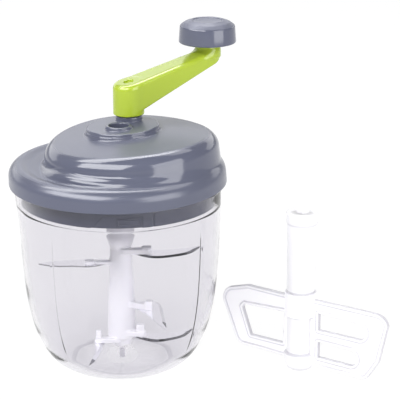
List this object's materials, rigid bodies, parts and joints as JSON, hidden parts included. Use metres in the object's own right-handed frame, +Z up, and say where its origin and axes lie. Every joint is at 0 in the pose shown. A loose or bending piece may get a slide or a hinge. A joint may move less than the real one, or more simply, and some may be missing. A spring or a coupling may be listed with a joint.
{
  "type": "hand-crank food chopper",
  "caption": "Countertop hand-crank food chopper: clear round bowl with a bladed rotor, domed geared lid with crank and knob, and a separate mixing paddle standing beside it.",
  "frame": {"origin": "centre of the flat foot of the bowl, on the table and on the rotor axis", "axes": "+Z up along the rotor axis; -X towards the pour spout; +X towards the side where the mixing paddle stands; -Y is the front"},
  "size_m": [0.2638, 0.1611, 0.2373],
  "materials": {
    "clear_plastic": "clear, polished",
    "slate_plastic": "glossy",
    "dark_plastic": "satin",
    "white_plastic": "satin",
    "lime_plastic": "glossy",
    "steel": "machined",
    "blade_steel": "ground and polished"
  },
  "bodies": {
    "base": {"bowl": "clear_plastic", "pivot_pin": "steel"},
    "lid": {"lid_cover": "slate_plastic", "plug_ring": "slate_plastic", "gear_plate": "dark_plastic", "gear_plate_screws": "steel", "plug_ring_screws": "steel", "crank_bush": "slate_plastic", "crank_bush_bottom": "white_plastic", "spindle_bush_top": "dark_plastic", "spindle_bush_bottom": "white_plastic"},
    "crank": {"crank_shaft": "steel", "crank_gear": "white_plastic", "crank_arm": "lime_plastic", "crank_screw": "steel", "crank_screw_plug": "lime_plastic", "knob_post": "steel"},
    "knob": {"knob": "slate_plastic", "knob_cap": "slate_plastic"},
    "spindle": {"drive_spindle": "white_plastic"},
    "rotor": {"blade_column": "white_plastic", "column_bush": "dark_plastic", "blade_top_right": "blade_steel", "blade_top_left": "blade_steel", "blade_middle": "blade_steel", "blade_low_right": "blade_steel", "blade_low_front": "blade_steel"},
    "paddle": {"paddle_column": "white_plastic", "paddle_wings": "white_plastic", "paddle_cap": "white_plastic"}
  },
  "joints": [
    {"name": "lid_lift", "type": "slide", "parent": "base", "child": "lid", "axis": [0, 0, 1], "range_m": [0, 0.13]},
    {"name": "crank_spin", "type": "hinge", "parent": "lid", "child": "crank", "pos_m": [0.0063, 0.02108, 0.15], "axis": [0, 0, 1], "continuous": true},
    {"name": "knob_spin", "type": "hinge", "parent": "crank", "child": "knob", "pos_m": [0.06163, 0.06509, 0.225], "axis": [0, 0, 1], "continuous": true},
    {"name": "spindle_spin", "type": "hinge", "parent": "lid", "child": "spindle", "pos_m": [0, 0, 0.15], "axis": [0, 0, 1], "continuous": true},
    {"name": "rotor_spin", "type": "hinge", "parent": "base", "child": "rotor", "pos_m": [0, 0, 0.05], "axis": [0, 0, 1], "continuous": true},
    {"name": "paddle_lift", "type": "slide", "parent": "base", "child": "paddle", "axis": [0, 0, 1], "range_m": [0, 0.06]}
  ],
  "couplings": [
    {"joint": "spindle_spin", "follows": "crank_spin", "ratio": -2.6667},
    {"joint": "rotor_spin", "follows": "crank_spin", "ratio": -2.6667}
  ]
}
